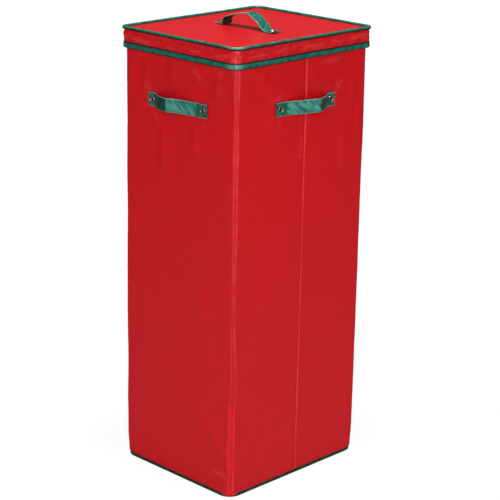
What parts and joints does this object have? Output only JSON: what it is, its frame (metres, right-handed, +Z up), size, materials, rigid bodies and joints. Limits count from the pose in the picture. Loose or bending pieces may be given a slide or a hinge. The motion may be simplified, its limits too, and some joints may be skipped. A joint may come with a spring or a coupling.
{
  "type": "ornament storage box",
  "caption": "Tall upright storage box with fabric-covered stiff walls, a lift-off lid with a skirt, riveted strap handles and a loose base board.",
  "frame": {"origin": "on the floor under the middle of the box", "axes": "+Z up, -Y out of the front wall (one whole board), +X out of the right wall (two boards and an upright crease)"},
  "size_m": [0.341, 0.38, 0.8755],
  "materials": {
    "red_coated_fabric": "satin coated",
    "green_vinyl_trim": "satin",
    "green_strap": "satin",
    "red_lining": "nonwoven",
    "chipboard": "raw grey board",
    "rivet_metal": "nickel plated"
  },
  "bodies": {
    "box": {"back_board": "chipboard", "back_cover": "red_coated_fabric", "back_handle": "green_strap", "back_lining": "red_lining", "back_rivet_a": "rivet_metal", "back_rivet_b": "rivet_metal", "back_washer_a": "rivet_metal", "back_washer_b": "rivet_metal", "base_piping": "green_vinyl_trim", "bottom_cloth": "red_coated_fabric", "front_board": "chipboard", "front_cover": "red_coated_fabric", "front_handle": "green_strap", "front_lining": "red_lining", "front_rivet_a": "rivet_metal", "front_rivet_b": "rivet_metal", "front_washer_a": "rivet_metal", "front_washer_b": "rivet_metal", "left_board_a": "chipboard", "left_board_b": "chipboard", "left_cover": "red_coated_fabric", "left_handle": "green_strap", "left_lining": "red_lining", "left_rivet_a": "rivet_metal", "left_rivet_b": "rivet_metal", "left_washer_a": "rivet_metal", "left_washer_b": "rivet_metal", "right_board_a": "chipboard", "right_board_b": "chipboard", "right_cover": "red_coated_fabric", "right_handle": "green_strap", "right_lining": "red_lining", "right_rivet_a": "rivet_metal", "right_rivet_b": "rivet_metal", "right_washer_a": "rivet_metal", "right_washer_b": "rivet_metal", "rim_binding": "green_vinyl_trim"},
    "base_board": {"base_board": "chipboard", "base_cloth": "red_lining"},
    "lid": {"lid_board": "chipboard", "lid_cover": "red_coated_fabric", "lid_handle": "green_strap", "lid_hem_binding": "green_vinyl_trim", "lid_lining": "red_lining", "lid_piping": "green_vinyl_trim", "lid_rivet_a": "rivet_metal", "lid_rivet_b": "rivet_metal", "lid_skirt_back": "red_coated_fabric", "lid_skirt_front": "red_coated_fabric", "lid_skirt_left": "red_coated_fabric", "lid_skirt_right": "red_coated_fabric", "lid_washer_a": "rivet_metal", "lid_washer_b": "rivet_metal"}
  },
  "joints": [
    {"name": "lid_lift", "type": "slide", "parent": "box", "child": "lid", "axis": [0, 0, 1], "range_m": [0, 0.12]},
    {"name": "base_board_tilt", "type": "hinge", "parent": "box", "child": "base_board", "pos_m": [0, 0.1665, 0.005], "axis": [-1, 0, 0], "range_deg": [0, 90]}
  ]
}
